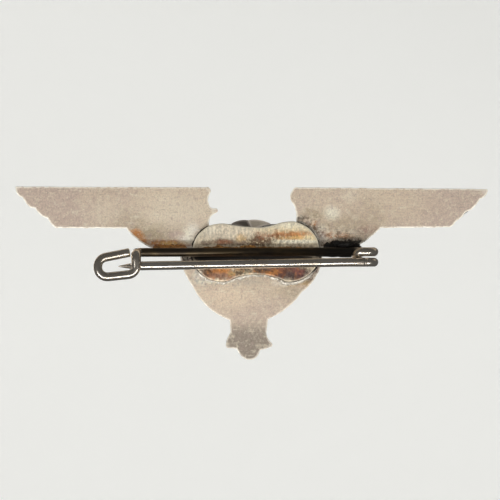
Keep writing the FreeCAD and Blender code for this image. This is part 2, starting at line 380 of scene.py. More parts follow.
def rounding(distance, radius):
    """How far a rounded edge lies below the flat, at a distance in from the outline."""
    inward = max(0.0, radius - distance)
    return radius - math.sqrt(max(0.0, radius * radius - inward * inward))


def level(x, z, d):
    """No extra height."""
    return 0.0


def plate(heap, loop, front, back, spacing, edge, front_lift, back_lift, offsets):
    """Closed plate with rounded edges. The lifts give extra height at (x, z, distance from outline)."""
    points, faces, distances = fill(loop, spacing, offsets)
    backs = [
        (x, back - rounding(d, edge) + back_lift(x, z, d), z) for (x, z), d in zip(points, distances)
    ]
    fronts = [
        (x, front + rounding(d, edge) - front_lift(x, z, d), z) for (x, z), d in zip(points, distances)
    ]
    count = len(points)
    directed = set()
    for face in faces:
        directed.update(zip(face, face[1:] + face[:1]))
    rim = [(a, b) for a, b in directed if (b, a) not in directed]
    walls = [(a, b, count + b, count + a) for a, b in sorted(rim)]
    front_faces = [tuple(count + i for i in face)[::-1] for face in faces]
    heap.add(backs + fronts, [tuple(face) for face in faces] + front_faces + walls, distances * 2)


def rounded(corners, bends, spacing=0.12):
    """Points along straight runs joined by arcs, one bend radius for each inner corner."""
    corners = [Vector(c) for c in corners]
    out = [corners[0]]
    for before, corner, after, radius in zip(corners, corners[1:], corners[2:], bends):
        back = (before - corner).normalized()
        on = (after - corner).normalized()
        half = back.angle(on) / 2
        centre = corner + (back + on).normalized() * (radius / math.sin(half))
        first = corner + back * (radius / math.tan(half)) - centre
        last = corner + on * (radius / math.tan(half)) - centre
        turn = first.angle(last)
        steps = max(2, int(turn * radius / spacing))
        square = (last - first * math.cos(turn)) / math.sin(turn)
        for i in range(steps + 1):
            out.append(centre + first * math.cos(turn * i / steps) + square * math.sin(turn * i / steps))
    out.append(corners[-1])
    dense = []
    for a, b in zip(out, out[1:]):
        steps = max(1, int((b - a).length / (3 * spacing)))
        dense += [a.lerp(b, i / steps) for i in range(steps)]
    return dense + [out[-1]]


def joined(rings, count, first=0):
    """Four-cornered faces between neighbouring rings of count points."""
    faces = []
    for ring in range(rings - 1):
        for k in range(count):
            a = first + ring * count + k
            b = first + ring * count + (k + 1) % count
            faces.append((a, b, b + count, a + count))
    return faces


BEVEL = ((0.0, 0.8), (0.4, 0.94), (1.0, 1.0))       # share of the cap's length, share of the radius


def tube(heap, path, radius, sides=28, start_cap=0.12, end_cap=0.12):
    """Round rod along a path. radius(share of its length) is its radius; a cap is an end's bevel."""
    tangents = [
        (path[min(i + 1, len(path) - 1)] - path[max(i - 1, 0)]).normalized() for i in range(len(path))
    ]
    side = tangents[0].orthogonal().normalized()
    reached = np.r_[0, np.cumsum([(b - a).length for a, b in zip(path, path[1:])])]
    rings = []
    for i, tangent in enumerate(tangents):
        if i:
            side = tangents[i - 1].rotation_difference(tangent) @ side
        side = (side - tangent * side.dot(tangent)).normalized()
        rings.append((path[i], side, tangent, radius(float(reached[i] / reached[-1]))))
    for cap, end, way in ((start_cap, slice(0, 1), 1), (end_cap, slice(-1, None), -1)):
        if cap:
            centre, side, tangent, r = rings[end][0]
            rings[end] = [
                (centre + tangent * way * cap * inward, side, tangent, r * size)
                for inward, size in BEVEL[::way]
            ]
    points = []
    for centre, u, tangent, r in rings:
        v = tangent.cross(u)
        for k in range(sides):
            angle = 2 * math.pi * k / sides
            points.append(centre + (u * math.cos(angle) + v * math.sin(angle)) * r)
    caps = [tuple(range(sides))[::-1], tuple(range((len(rings) - 1) * sides, len(rings) * sides))]
    heap.add(points, caps + joined(len(rings), sides))


def loft(heap, sections, values):
    """Closed skin over sections that have the same number of points, each a closed loop."""
    count = len(sections[0])
    points = [p for section in sections for p in section]
    caps = [tuple(range(count)), tuple(range((len(sections) - 1) * count, len(sections) * count))]
    heap.add(points, caps + joined(len(sections), count), [v for section in values for v in section])


def blob(heap, centre, radii, rough, seed, value=0.0):
    """Uneven ball."""
    rings, sides = 16, 24
    points = [(centre[0], centre[1], centre[2] + radii[2]), (centre[0], centre[1], centre[2] - radii[2])]
    for i in range(1, rings):
        tilt = math.pi * i / rings
        for k in range(sides):
            turn = 2 * math.pi * k / sides
            level_way = Vector((math.cos(turn), math.sin(turn), 0))
            way = level_way * math.sin(tilt) + Vector((0, 0, math.cos(tilt)))
            grow = 1 + rough * noise.fractal(way * 1.6 + Vector((seed, 0, 0)), 0.7, 2.0, 4)
            points.append([centre[axis] + way[axis] * radii[axis] * grow for axis in range(3)])
    faces = [face[::-1] for face in joined(rings - 1, sides, 2)]
    last = 2 + (rings - 2) * sides
    for k in range(sides):
        after = (k + 1) % sides
        faces.append((0, 2 + k, 2 + after))
        faces.append((1, last + after, last + k))
    heap.add(points, faces, [value] * len(points))


# ---------------------------------------------------------------- materials
MAUVE = (0.62, 0.49, 0.4)
TAN = (0.72, 0.585, 0.44)
PALE = (0.86, 0.75, 0.58)
CREAM = (0.95, 0.88, 0.7)
SILVER = (0.95, 0.88, 0.76)
WARM = (0.99, 0.83, 0.52)
STEEL = (0.34, 0.33, 0.31)
OLIVE = (0.36, 0.28, 0.16)
GOLD = (0.8, 0.5, 0.19)
ORANGE = (0.62, 0.25, 0.07)
RUST = (0.32, 0.11, 0.05)
BROWN = (0.13, 0.075, 0.04)
# Near black: real soot, and painted shade where the patches and masks below use it for shadow.
SOOT_AND_SHADE = (0.012, 0.01, 0.008)
PLUM = (0.1, 0.055, 0.05)

# Each stain, or patch of painted shade, is x, z, half width, half height (millimetres), tint, share,
# and its softness and raggedness where they aren't the usual ones.
WING_STAINS = [
    (10.6, 5.2, 5.0, 2.6, PALE, 0.65, 0.9, 0.5), (17.2, 4.6, 1.9, 1.3, OLIVE, 0.3, 0.9, 0.9),
    (20.4, 5.6, 2.6, 1.4, PALE, 0.35, 0.9, 0.9), (14.2, 3.0, 3.4, 1.1, OLIVE, 0.42, 0.9, 0.8),
    (12.6, 2.1, 3.6, 0.8, OLIVE, 0.5), (10.4, 2.4, 1.2, 0.5, (0.6, 0.45, 0.4), 0.6),
    (16.3, 2.75, 0.75, 0.42, ORANGE, 0.8), (15.6, 2.15, 0.55, 0.5, ORANGE, 0.85, 0.7, 0.9),
    (15.0, 1.6, 0.6, 0.45, ORANGE, 0.9, 0.7, 0.9), (14.2, 1.15, 0.7, 0.35, RUST, 0.75, 0.7, 1.0),
    (11.9, 1.2, 2.9, 0.4, ORANGE, 0.9, 0.7, 0.9), (11.4, 1.15, 1.3, 0.26, GOLD, 0.95, 0.7, 1.0),
    (13.1, 0.85, 1.0, 0.22, RUST, 0.85, 0.7, 1.0), (9.2, 0.95, 0.9, 0.28, RUST, 0.75, 0.7, 1.0),
    (9.4, 1.35, 0.6, 0.24, GOLD, 0.8, 0.7, 1.0),
    (8.6, 2.3, 0.85, 1.15, CREAM, 1.0, 0.6, 0.5), (7.9, 3.2, 0.7, 0.9, SILVER, 0.8, 0.8, 0.6),
    (9.3, 1.8, 0.8, 0.45, SILVER, 0.7, 0.7, 0.8),
    (-11.3, 5.35, 1.05, 0.95, CREAM, 1.0, 0.6, 0.45), (-13.9, 7.9, 0.9, 0.7, PALE, 0.8, 0.9, 0.5),
    (-12.5, 3.4, 4.2, 1.4, OLIVE, 0.45, 0.9, 0.8), (-8.5, 5.2, 1.6, 0.6, OLIVE, 0.5, 0.8, 0.8),
    (-16.8, 5.2, 2.2, 1.4, OLIVE, 0.25, 0.9, 0.9),
    (-11.2, 2.4, 2.2, 0.9, RUST, 0.5, 0.8, 1.2), (-10.9, 2.4, 0.9, 0.5, ORANGE, 0.65, 0.8, 1.3),
    (-13.1, 2.2, 1.2, 0.5, ORANGE, 0.55, 0.8, 1.3), (-14.3, 2.9, 1.1, 0.5, PALE, 0.7, 0.7, 1.0),
    (-12.0, 2.9, 1.3, 0.5, PALE, 0.55, 0.8, 1.3), (-10.0, 3.4, 0.6, 0.4, CREAM, 0.6, 0.8, 1.2),
    (-16.2, 3.0, 1.4, 0.6, (0.44, 0.25, 0.19), 0.6, 0.8, 0.7),
    (-6.9, 4.75, 0.95, 0.3, SOOT_AND_SHADE, 0.85, 0.7, 0.9), (-7.9, 4.1, 0.8, 0.4, BROWN, 0.85, 0.7, 1.1),
    (-8.9, 3.3, 0.5, 0.8, BROWN, 0.85, 0.8, 1.2), (-8.7, 4.05, 0.45, 0.35, ORANGE, 0.7, 0.8, 1.0),
    (-8.3, 4.2, 0.3, 0.3, CREAM, 0.8, 0.7, 1.0), (-9.9, 2.0, 0.8, 1.0, STEEL, 0.65),
    (-14.0, 1.25, 3.1, 0.7, SOOT_AND_SHADE, 1.0, 0.5, 0.8), (-10.8, 1.0, 1.7, 0.45, BROWN, 0.9, 0.6, 1.1),
]
BODY_STAINS_AND_SHADE = [
    (3.9, -6.2, 3.4, 1.9, (0.92, 0.74, 0.54), 0.5, 0.9, 0.6), (6.9, -3.1, 1.0, 1.1, SILVER, 0.75),
    (7.4, -2.3, 0.4, 0.8, STEEL, 0.6, 0.7, 0.9), (5.2, -4.15, 2.4, 0.28, CREAM, 0.95, 0.6, 0.8),
    (-4.4, -4.3, 1.2, 0.45, SILVER, 0.8), (-5.8, -5.6, 2.2, 1.1, OLIVE, 0.35, 0.9, 0.8),
    (-7.9, -3.5, 1.1, 1.0, BROWN, 0.75, 0.7, 1.0), (-9.0, -2.2, 0.9, 1.3, PLUM, 0.8, 0.7, 0.8),
    (0.4, -4.1, 2.3, 0.5, STEEL, 0.3, 0.9, 1.0),
    (-7.0, -4.5, 1.6, 0.4, GOLD, 0.35), (1.0, -8.9, 3.0, 1.0, MAUVE, 0.5, 0.9, 0.5),
    # The two near-black patches at z -0.85 are painted shadow of the pin and the leg on the sheet between the
    # wires.
    (9.4, -0.85, 2.2, 0.42, SOOT_AND_SHADE, 1.0, 0.35, 0.15), (-9.6, -0.95, 2.2, 0.48, SOOT_AND_SHADE, 1.0, 0.35, 0.2),
]
LOBE_STAINS_AND_SHADE = [
    (-5.4, 3.4, 4.2, 1.5, WARM, 0.7, 0.9, 0.5), (-5.2, 3.9, 3.4, 0.5, CREAM, 0.65, 0.8, 0.8),
    (4.0, 3.0, 4.2, 1.1, PALE, 0.75, 0.8, 0.7), (5.9, 3.3, 1.4, 0.6, CREAM, 0.5),
    (-6.0, 2.4, 2.8, 0.42, ORANGE, 0.9, 0.8, 1.0), (-4.7, 2.1, 1.0, 0.35, RUST, 0.6, 0.8, 1.2),
    (-6.6, 1.95, 2.3, 0.26, GOLD, 0.9, 0.7, 0.9), (-8.2, 1.9, 0.8, 0.5, WARM, 0.95, 0.7, 0.7),
    (-6.2, 1.45, 3.4, 0.24, CREAM, 0.9, 0.6, 0.5),
    (4.6, 1.3, 4.4, 0.42, BROWN, 0.85, 0.6, 1.1), (-0.9, 1.5, 2.4, 0.75, BROWN, 0.9, 0.6, 1.0),
    (-1.8, 2.3, 1.1, 0.5, RUST, 0.7, 0.8, 1.2), (1.6, 2.6, 1.4, 0.9, PALE, 0.6, 0.8, 0.6),
    (1.4, 2.0, 0.7, 0.4, GOLD, 0.55, 0.8, 1.0),
    (3.9, 1.4, 0.9, 0.25, RUST, 0.6, 0.8, 1.3), (6.9, 2.2, 1.3, 0.9, STEEL, 0.2, 0.9, 0.7),
    # Near-black band at z -0.85: painted shadow of the pin and the leg on the plate between the wires.
    (0.0, -0.85, 9.8, 1.15, SOOT_AND_SHADE, 1.0, 0.25, 0.12),
    (5.0, -2.9, 3.4, 1.1, RUST, 0.9, 0.6, 0.8), (3.9, -2.55, 1.7, 0.45, ORANGE, 0.95, 0.7, 1.0),
    (6.4, -2.7, 0.8, 0.6, BROWN, 0.8, 0.7, 1.1), (4.2, -3.2, 1.0, 0.3, (0.5, 0.3, 0.2), 0.7, 0.8, 1.0),
    (2.7, -3.0, 0.5, 0.3, GOLD, 0.8, 0.6, 0.9), (7.6, -2.6, 0.7, 0.8, PALE, 0.5),
    (1.0, -2.7, 2.0, 0.6, OLIVE, 0.7),
    (-4.6, -2.9, 4.0, 1.3, PLUM, 0.97, 0.5, 0.5), (-2.2, -3.1, 1.2, 0.4, ORANGE, 0.65, 0.8, 1.2),
    (-1.2, -2.6, 0.9, 0.5, BROWN, 0.65, 0.8, 1.0), (-4.4, -2.6, 0.8, 0.7, RUST, 0.6, 0.8, 1.0),
    (-3.3, -2.7, 0.5, 0.3, ORANGE, 0.7, 0.8, 1.2), (-6.3, -2.6, 0.9, 0.5, (0.3, 0.11, 0.08), 0.8, 0.8, 1.2),
]
# Each crust is x, z, half width, half height, share, dark tint, light tint.
SHEET_CRUSTS = [
    (-11.6, 2.5, 3.4, 0.9, 0.75, BROWN, CREAM), (-8.2, 4.1, 1.2, 0.9, 0.7, BROWN, PALE),
    (5.6, -4.0, 3.2, 0.8, 0.6, STEEL, CREAM), (-6.6, -4.3, 2.6, 0.8, 0.5, OLIVE, CREAM),
]
LOBE_CRUSTS = [(-3.0, 1.4, 5.0, 0.9, 0.5, BROWN, WARM), (0.0, -2.8, 8.0, 1.2, 0.55, SOOT_AND_SHADE, ORANGE)]


def sheet_metal():
    """Back and edges of the struck sheet: dull tarnished silvering, heat-marked round the joints, with painted
    shade between the wires and a painted highlight on the upper edges.
    """
    s = Shade("silvered_sheet")
    clouds = s.noise(0.16, 4.0, shift=3.0)
    patches = s.noise(1.5, 5.0, rough=0.7, shift=15.0)
    grain = s.noise(4.2, 6.0, rough=0.8)
    specks = s.noise(4.0, 2.0, shift=12.0)
    outer = s.step(s.math("ABSOLUTE", s.x), 19.0, 30.0)
    colour = s.mix(s.math("ADD", s.step(clouds, 0.38, 0.66, 0.0, 0.6), outer), TAN, MAUVE)
    colour = s.mix(s.step(s.z, -8.8, -11.8), colour, (0.34, 0.28, 0.225))
    behind = s.step(s.y, -0.6, -0.3)
    colour = s.stained_and_shaded(colour, WING_STAINS, s.times(behind, s.step(s.z, 0.5, 0.6)))
    colour = s.stained_and_shaded(colour, BODY_STAINS_AND_SHADE, s.times(behind, s.step(s.z, 0.5, 0.3)))
    colour = s.gritty(colour, SHEET_CRUSTS, behind)
    colour = s.mix(s.step(patches, 0.5, 0.66, 0.0, 0.6), colour, PALE)
    colour = s.mix(s.step(patches, 0.48, 0.34, 0.0, 0.6), colour, (0.48, 0.37, 0.31))
    colour = s.tone(colour, s.step(grain, 0.32, 0.68, 0.76, 1.2))
    scratches = s.noise(2.2, 4.0, stretch=(0.22, 1.0, 1.9), rough=0.7, shift=18.0)
    colour = s.mix(s.step(scratches, 0.6, 0.7, 0.0, 0.5), colour, CREAM)
    colour = s.tone(colour, s.step(scratches, 0.3, 0.42, 0.78, 1.0))
    colour = s.tone(colour, s.step(specks, 0.66, 0.76, 1.0, 0.66))
    colour = s.mix(s.step(specks, 0.36, 0.27, 0.0, 0.6), colour, CREAM)
    # Cream along the outline: partly rubbed edges, partly a painted highlight on the upper edges, which the lamps
    # below leave dark.
    edge = s.step(s.attribute("edge"), 0.26, 0.12)
    rubbed_edge_and_highlight = s.times(edge, s.step(s.noise(1.3, 3.0), 0.34, 0.52, 0.25, 1.0), s.step(s.z, 0.3, 1.2, 0.6, 1.0))
    colour = s.mix(rubbed_edge_and_highlight, colour, (1.0, 0.93, 0.8))
    s.bump(s.math("ADD", grain, s.math("MULTIPLY", specks, 0.4)), 0.02, 0.4)
    return s.finish(colour, s.step(patches, 0.3, 0.7, 0.54, 0.36), 0.5)


def back_plate_metal():
    """Two-lobed plate: warm silvering, cream at its edges, stained orange and brown by the torch, with painted
    shade between the wires and at the foot of its wall.
    """
    s = Shade("back_plate_sheet")
    grain = s.noise(3.2, 6.0, rough=0.75, shift=5.0)
    ribs = s.noise(2.2, 3.0, stretch=(1.6, 1.0, 0.35), shift=2.0)
    colour = s.mix(s.step(s.noise(0.35, 4.0, shift=6.0), 0.4, 0.62), (0.78, 0.66, 0.47), (0.58, 0.47, 0.34))
    colour = s.stained_and_shaded(colour, LOBE_STAINS_AND_SHADE)
    colour = s.gritty(colour, LOBE_CRUSTS)
    colour = s.tone(colour, s.step(grain, 0.32, 0.68, 0.74, 1.2))
    colour = s.tone(colour, s.step(ribs, 0.35, 0.65, 0.82, 1.1))
    bright = s.math("ADD", s.step(s.z, -0.4, 0.2, 0.0, 0.85), s.step(s.z, -1.6, -2.2, 0.0, 0.25))
    edge = s.times(s.step(s.attribute("edge"), 0.26, 0.08), bright)
    colour = s.mix(edge, colour, CREAM)
    # Near black at the foot of the plate's wall: painted shadow of the plate's edge, weaker far out towards -X.
    shaded_wall_foot = s.times(s.step(s.y, 0.62, 0.35), s.step(s.x, -8.6, -6.5, 0.35, 1.0))
    colour = s.mix(s.times(shaded_wall_foot, 0.9), colour, SOOT_AND_SHADE)
    s.bump(s.math("ADD", grain, s.math("MULTIPLY", ribs, 0.4)), 0.04, 0.6)
    return s.finish(colour, s.step(grain, 0.3, 0.7, 0.5, 0.36), 0.45)


def solder_metal():
    """Bright solder; near black where the piece's own soot-and-shade value is high, which round the two-lobed
    plate paints the shadow of the plate's edge.
    """
    s = Shade("solder")
    lumps = s.noise(2.2, 6.0, rough=0.7)
    colour = s.mix(s.step(lumps, 0.38, 0.62), (0.46, 0.41, 0.34), SILVER)
    colour = s.mix(s.step(s.noise(1.1, 4.0, shift=4.0), 0.56, 0.7, 0.0, 0.7), colour, BROWN)
    soot_and_shade = s.math("ADD", s.attribute("soot_and_shade"), s.math("MULTIPLY_ADD", s.uneven(), 0.22, -0.02))
    colour = s.mix(s.step(soot_and_shade, 0.35, 0.6), colour, SOOT_AND_SHADE)
    s.bump(lumps, 0.08, 0.8)
    return s.finish(colour, s.step(lumps, 0.3, 0.7, 0.5, 0.3), 0.6)


def braze_metal():
    """Brassy brazing with orange heat colour, near black where its soot-and-shade value is high: burnt, and on the
    lumps under the leg painted shade.
    """
    s = Shade("brazing")
    lumps = s.noise(1.6, 6.0, rough=0.7)
    colour = s.mix(s.step(lumps, 0.36, 0.6), BROWN, (0.5, 0.23, 0.06))
    colour = s.mix(s.step(s.noise(2.6, 4.0, shift=3.0), 0.58, 0.7), colour, GOLD)
    soot_and_shade = s.math("ADD", s.attribute("soot_and_shade"), s.math("MULTIPLY", s.uneven(), 0.16))
    colour = s.mix(s.step(soot_and_shade, 0.3, 0.62), colour, SOOT_AND_SHADE)
    s.bump(lumps, 0.12, 0.9)
    return s.finish(colour, s.step(lumps, 0.3, 0.7, 0.65, 0.4), 0.35)


def wire_metal():
    """Polished nickel wire with brownish tarnish; the leg behind the pin is painted near black, partly heat colour
    from the torch and partly painted shadow of the pin.
    """
    s = Shade("wire")
    patches = s.noise(0.5, 4.0, stretch=(0.35, 1.0, 1.0))
    colour = s.mix(s.step(patches, 0.4, 0.68), (0.78, 0.72, 0.63), (0.6, 0.52, 0.42))
    colour = s.mix(s.step(s.noise(3.0, 5.0, shift=8.0), 0.62, 0.74, 0.0, 0.5), colour, (0.14, 0.11, 0.08))
    # Near black on the leg and the coil's turn next to the plate: partly heat colour, partly painted shadow of the
    # pin, blacker towards the coil.
    along = s.times(s.step(s.x, 15.8, 15.1), s.step(s.x, -15.6, -14.2))
    burnt_and_shaded = s.times(along, s.step(s.y, 2.45, 2.2))
    streaks = s.step(s.noise(0.8, 5.0, stretch=(0.4, 1.0, 1.0), shift=5.0), 0.4, 0.65)
    heat_and_shade = s.mix(streaks, (0.03, 0.018, 0.008), (0.085, 0.055, 0.022))
    heat_and_shade = s.mix(s.step(s.x, -8.5, -11.0), heat_and_shade, SOOT_AND_SHADE)
    colour = s.mix(s.times(burnt_and_shaded, 0.94), colour, heat_and_shade)
    dull = s.uneven_patch(-15.6, -1.4, 0.55, 0.9, 1.0, 0.4, 0.2)
    colour = s.mix(s.times(dull, 0.55), colour, (0.3, 0.27, 0.23))
    rough = s.math("ADD", s.step(patches, 0.35, 0.7, 0.19, 0.3), s.times(dull, 0.18))
    rough = s.math("ADD", rough, s.times(burnt_and_shaded, 0.2))
    s.bump(s.noise(6.0, 3.0, stretch=(0.06, 1.0, 1.0), shift=6.0), 0.006, 0.4)
    return s.finish(colour, rough, 1.0)


def relief_metal(name, high, low, rough, metallic=1.0):
    """Struck and silvered front: bright on the high spots and dark in the hollows."""
    s = Shade(name)
    grain = s.noise(3.0, 5.0)
    hollow = s.step(s.attribute("cavity"), 0.0, 1.0)
    dim = tuple(0.84 * c for c in high)
    colour = s.mix(s.step(s.noise(0.35, 4.0, shift=5.0), 0.35, 0.7), high, dim)
    colour = s.mix(hollow, colour, low)
    colour = s.mix(s.step(s.noise(1.6, 6.0, rough=0.7, shift=11.0), 0.56, 0.72, 0.0, 0.5), colour, low)
    s.bump(grain, 0.02, 0.4)
    base = s.step(grain, 0.3, 0.7, rough, rough + 0.12)
    return s.finish(colour, s.math("MULTIPLY_ADD", hollow, 0.25, base), metallic)


def enamel(name, light, deep, rays):
    """Fired glass over a struck ground: a fan of fine rays shows through the colour."""
    s = Shade(name)
    angle = s.math("ARCTAN2", s.math("SUBTRACT", s.z, STAR_Z), s.x)
    fan = s.math("SINE", s.math("MULTIPLY", angle, rays))
    colour = s.mix(s.step(fan, -0.9, 0.9, 0.15, 0.85), deep, light)
    colour = s.mix(s.step(s.noise(1.5, 4.0), 0.55, 0.75, 0.0, 0.35), colour, tuple(0.4 * c for c in deep))
    s.bump(s.noise(0.9, 3.0), 0.03, 0.3)
    return s.finish(colour, 0.12, 0.35, Coat_Weight=0.9, Coat_Roughness=0.04)


SHEET = sheet_metal()
BACK_SHEET = back_plate_metal()
SOLDER = solder_metal()
BRAZE = braze_metal()
WIRE = wire_metal()
RELIEF = relief_metal("silvered_relief", (0.8, 0.75, 0.68), (0.1, 0.085, 0.07), 0.24, 0.75)
# The two crest leaves are one struck metal in a lit and a shaded copy; the right leaf's darker tones are painted
# shade.
CRESTS = {
    "right": relief_metal("shaded_crest_relief", (0.5, 0.43, 0.38), (0.16, 0.14, 0.11), 0.4, 0.4),
    "left": relief_metal("lit_crest_relief", (0.95, 0.84, 0.72), (0.6, 0.52, 0.4), 0.4, 0.25),
}
DARK_ENAMEL = enamel("dark_enamel", (0.02, 0.07, 0.36), (0.008, 0.02, 0.12), 64)
LIGHT_ENAMEL = enamel("light_enamel", (0.25, 0.52, 0.8), (0.12, 0.3, 0.55), 64)

# ---------------------------------------------------------------- wings and body
WINGS = {"right_wing": 1, "left_wing": -1}
FEATHER_LOW = 3.32
SHOULDER = 6.4              # the wing's feathers start here
FEATHER_ROWS = 4
COVERT_ROWS = 5
SCALE_ROWS = 6
SCALES_LOW = 4.1
SCALE_COLUMNS = (11.9, 10.1, 8.3, 6.9)  # where each column of scales starts, outermost first
EDGE_ROWS = (0.03, 0.09, 0.2)           # rows of points that follow an outline, by distance from it


def struck_leaf(heap, place, length, base, lift, quill=0.0, barbs=0.035):
    """One raised feather or leaf. place(s, t) gives (x, z), s from root to tip, t from -1 to 1 across."""
    along = max(10, int(length / 0.11))
    across = 15
    points = []
    hollows = []
    for i in range(along + 1):
        s = i / along
        fall = min(1.0, (1 - s) * length / 0.25) ** 0.5
        for j in range(across):
            t = 2 * j / (across - 1) - 1
            x, z = place(s, t)
            shaft = math.exp(-(((t - quill) / 0.1) ** 2))
            groove = (math.sin(2 * math.pi * (s * length - 0.9 * abs(t - quill)) / 0.42) < 0) * (1 - shaft)
            height = lift * (1 - 0.55 * abs(t) ** 2.6) - barbs * groove + 0.12 * shaft * (1 - 0.6 * s)
            points.append((x, base - height * (0.25 + 0.75 * fall), z))
            hollows.append(0.95 * abs(t) ** 6 + 0.35 * groove)
    under = len(points)
    for i in range(along + 1):
        for j in (0, across - 1):
            x, _, z = points[i * across + j]
            points.append((x, base + 0.02, z))
            hollows.append(1.0)
    faces = []
    for i in range(along):
        row = i * across
        after = row + across
        low_a, low_b = under + 2 * i, under + 2 * (i + 1)
        faces += [(row + j, row + j + 1, after + j + 1, after + j) for j in range(across - 1)]
        faces.append((row, after, low_b, low_a))
        faces.append((after + across - 1, row + across - 1, low_a + 1, low_b + 1))
        faces.append((low_a, low_b, low_b + 1, low_a + 1))
    end = along * across
    last = under + 2 * along
    faces.append(tuple(range(across))[::-1] + (under, under + 1))
    faces.append(tuple(range(end, end + across)) + (last + 1, last))
    heap.add(points, faces, hollows)


def feather(heap, side, root, tip, low, high, base, lift, tip_round=0.0):
    """Level feather from x = root to tip(z), between the heights low and high."""
    middle = (low + high) / 2

    def place(s, t):
        squeeze = 1.0
        if tip_round and s > 1 - tip_round:
            past = (s - 1 + tip_round) / tip_round
            squeeze = 0.03 + 0.97 * math.sqrt(max(0.0, 1 - past * past))
        z = middle + t * squeeze * (high - low) / 2
        return side * (root + s * (tip(z) - root)), z

    struck_leaf(heap, place, abs(tip(middle) - root), base, lift, -0.15)


def leaf(heap, root, point, half_wide, base, lift):
    """Pointed leaf from root to point, both (x, z)."""
    way = Vector(point) - Vector(root)
    across = Vector((-way.y, way.x)).normalized()

    def place(s, t):
        swell = 0.04 + 0.96 * math.sin(math.pi * s ** 0.75)
        spot = Vector(root) + way * s + across * t * half_wide * swell
        return spot.x, spot.y

    struck_leaf(heap, place, way.length, base, lift)


def crossings(loop, axis, value):
    """Where an outline crosses x = value (axis 0) or z = value (axis 1): its other coordinate."""
    found = []
    for p, q in zip(loop, loop[1:] + loop[:1]):
        if (p[axis] - value) * (q[axis] - value) <= 0 and p[axis] != q[axis]:
            share = (value - p[axis]) / (q[axis] - p[axis])
            found.append(p[1 - axis] + share * (q[1 - axis] - p[1 - axis]))
    return found


def struck_sheet(node, seed):
    """One flat piece of struck sheet with filed edges. Gives its outline."""
    loop = resample(flat_loop(node, 0.0), 0.16)
    sheet = Heap()
    plate(
        sheet, ragged(loop, 0.04, 1.7, seed), SHEET_FRONT, 0.0, 0.5, 0.04, level,
        lambda x, z, d: 0.012 * wobble(x, z, 0.5, seed) - 0.01 * math.exp(-d / 0.25), EDGE_ROWS,
    )
    piece(node, sheet, SHEET, value="edge")
    return loop


def wing_feathers(node, side, loop):
    """Long flight feathers, short ones below, coverts over their roots, and the bone along the top."""
    struck = Heap()

    def reach(inset):
        return lambda z: max(side * x for x in crossings(loop, 1, z)) - inset

    top = min(max(crossings(loop, 0, side * x)) for x in (10.0, 20.0, 29.0))
    band = (top - FEATHER_LOW) / FEATHER_ROWS
    for row in reversed(range(FEATHER_ROWS)):
        high = top - 0.12 - band * row
        low = max(high - band - 0.1, FEATHER_LOW + 0.14)
        feather(struck, side, 12.0, reach(0.16), low, high, SHEET_FRONT, 0.42 - 0.02 * row)
    for row, (low, high) in enumerate(((0.72, 1.95), (1.9, 3.12))):
        feather(struck, side, 9.0, reach(0.2), low, high, SHEET_FRONT, 0.34 + 0.03 * row)
    deep = (top - FEATHER_LOW) / COVERT_ROWS
    for row in reversed(range(COVERT_ROWS)):
        high = top - 0.15 - deep * row
        end = 17.6 - 0.75 * row
        feather(
            struck, side, 8.2, lambda z, end=end: end,
            high - deep - 0.12, high, SHEET_FRONT - 0.32, 0.34, 0.1,
        )
    small = (top - SCALES_LOW) / SCALE_ROWS
    for column, start in enumerate(SCALE_COLUMNS):
        for row in reversed(range(SCALE_ROWS)):
            high = top - 0.2 - small * (row + (0.5 if column % 2 else 0.0))
            low = high - small * 1.05
            if low < 3.9:
                continue
            feather(
                struck, side, max(start - 1.6, SHOULDER), lambda z, start=start: start + 1.35,
                low, high, SHEET_FRONT - 0.5 - 0.07 * column, 0.3, 0.45,
            )
    bone = [
        Vector((side * x, SHEET_FRONT - 0.3, top - 0.38)) for x in np.linspace(SHOULDER + 0.3, 30.5, 90)
    ]
    tube(struck, bone, lambda share: 0.3 * (1 - 0.75 * share ** 2), 14, 0.2, 0.1)
    piece(node + "_feathers", struck, RELIEF)


outlines = {}
for wing_node, wing_side in WINGS.items():
    outlines[wing_node] = struck_sheet(wing_node, 2.0 + wing_side)
    wing_feathers(wing_node, wing_side, outlines[wing_node])
outlines["centre_body"] = struck_sheet("centre_body", 5.0)


def tail_leaves():
    """Three struck leaves and a small collar on the tail."""
    struck = Heap()
    leaf(struck, (-0.7, -10.2), (-2.35, -13.2), 0.62, SHEET_FRONT, 0.3)
    leaf(struck, (1.4, -10.2), (2.95, -13.0), 0.62, SHEET_FRONT, 0.3)
    leaf(struck, (0.35, -9.9), (0.15, -14.6), 0.85, SHEET_FRONT - 0.12, 0.42)
    collar = [
        Vector((x, SHEET_FRONT - 0.22, -9.75 + 0.05 * (x - 0.3) ** 2)) for x in np.linspace(-1.75, 2.4, 40)
    ]
    tube(struck, collar, lambda share: 0.26, 16, 0.15, 0.15)
    for x in np.linspace(-1.45, 2.1, 8):
        blob(struck, (x, SHEET_FRONT - 0.12, -10.35), (0.19, 0.16, 0.19), 0.0, 1.0)
    piece("tail_leaves", struck, RELIEF)


tail_leaves()

# ---------------------------------------------------------------- crest leaves
LEAF_SPREAD = 0.08          # the leaves reach this far past the CAD outline
LEAF_FRONT = LEAF_LOW.y + 0.2
LEAF_CROWN = 0.22           # how far the middle of a leaf's front stands out
LEAF_DISH = 0.16            # how far the middle of its back is sunk

for leaf_side in ("right", "left"):
    leaf_node = "crest_leaf_" + leaf_side
    leaf_loop = shifted(resample(flat_loop(leaf_node, LEAF_HIGH.y), 0.1), LEAF_SPREAD)
    crest = Heap()
    plate(
        crest, leaf_loop, LEAF_FRONT, LEAF_HIGH.y, 0.14, 0.07,
        lambda x, z, d: LEAF_CROWN * min(1.0, d / 0.45),
        lambda x, z, d: -LEAF_DISH * min(1.0, max(0.0, d - 0.1) / 0.3), (0.03, 0.08, 0.16, 0.28),
    )
    crest.values = [0.75 * min(1.0, max(0.0, d - 0.12) / 0.2) for d in crest.values]
    piece(leaf_node, crest, CRESTS[leaf_side])


